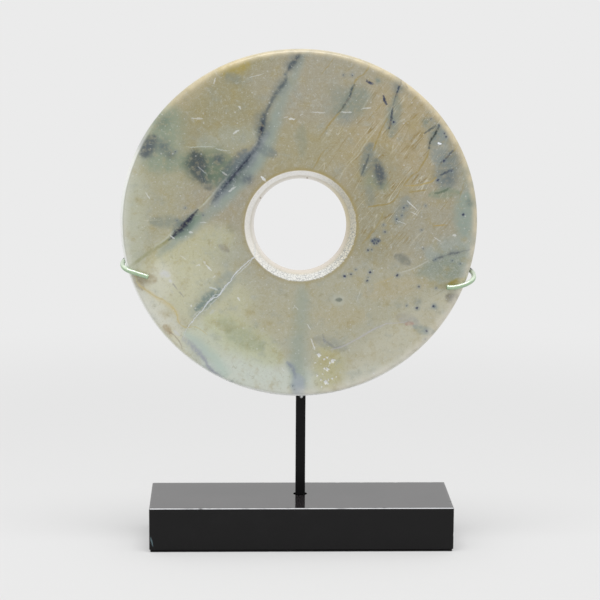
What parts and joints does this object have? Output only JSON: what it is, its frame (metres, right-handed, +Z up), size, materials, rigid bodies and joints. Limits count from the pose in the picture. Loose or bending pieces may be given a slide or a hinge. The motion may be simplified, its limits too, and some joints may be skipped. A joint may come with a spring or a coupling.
{
  "type": "jade bi disc on a stand",
  "caption": "Flat jade ring with a tapered hole, carried upright by wire arms on a square rod that rises from a polished black plinth.",
  "frame": {"origin": "middle of the underside of the pad under the plinth", "axes": "+Z up, X along the plinth, and the disc's front face looks along -Y"},
  "size_m": [0.2307, 0.067, 0.3241],
  "materials": {
    "jade": "old polish over olive, veined and slightly translucent stone",
    "wire_paint": "glossy pale green paint, black behind the disc",
    "rod_steel": "satin black",
    "clear_pad": "clear soft pad",
    "black_stone": "mirror polish",
    "felt": "thin black felt"
  },
  "bodies": {
    "root": {"jade_disc": "jade", "left_arm": "wire_paint", "right_arm": "wire_paint", "upright_rod": "rod_steel", "rim_pad": "clear_pad", "plinth": "black_stone", "felt_pad": "felt"}
  },
  "joints": []
}
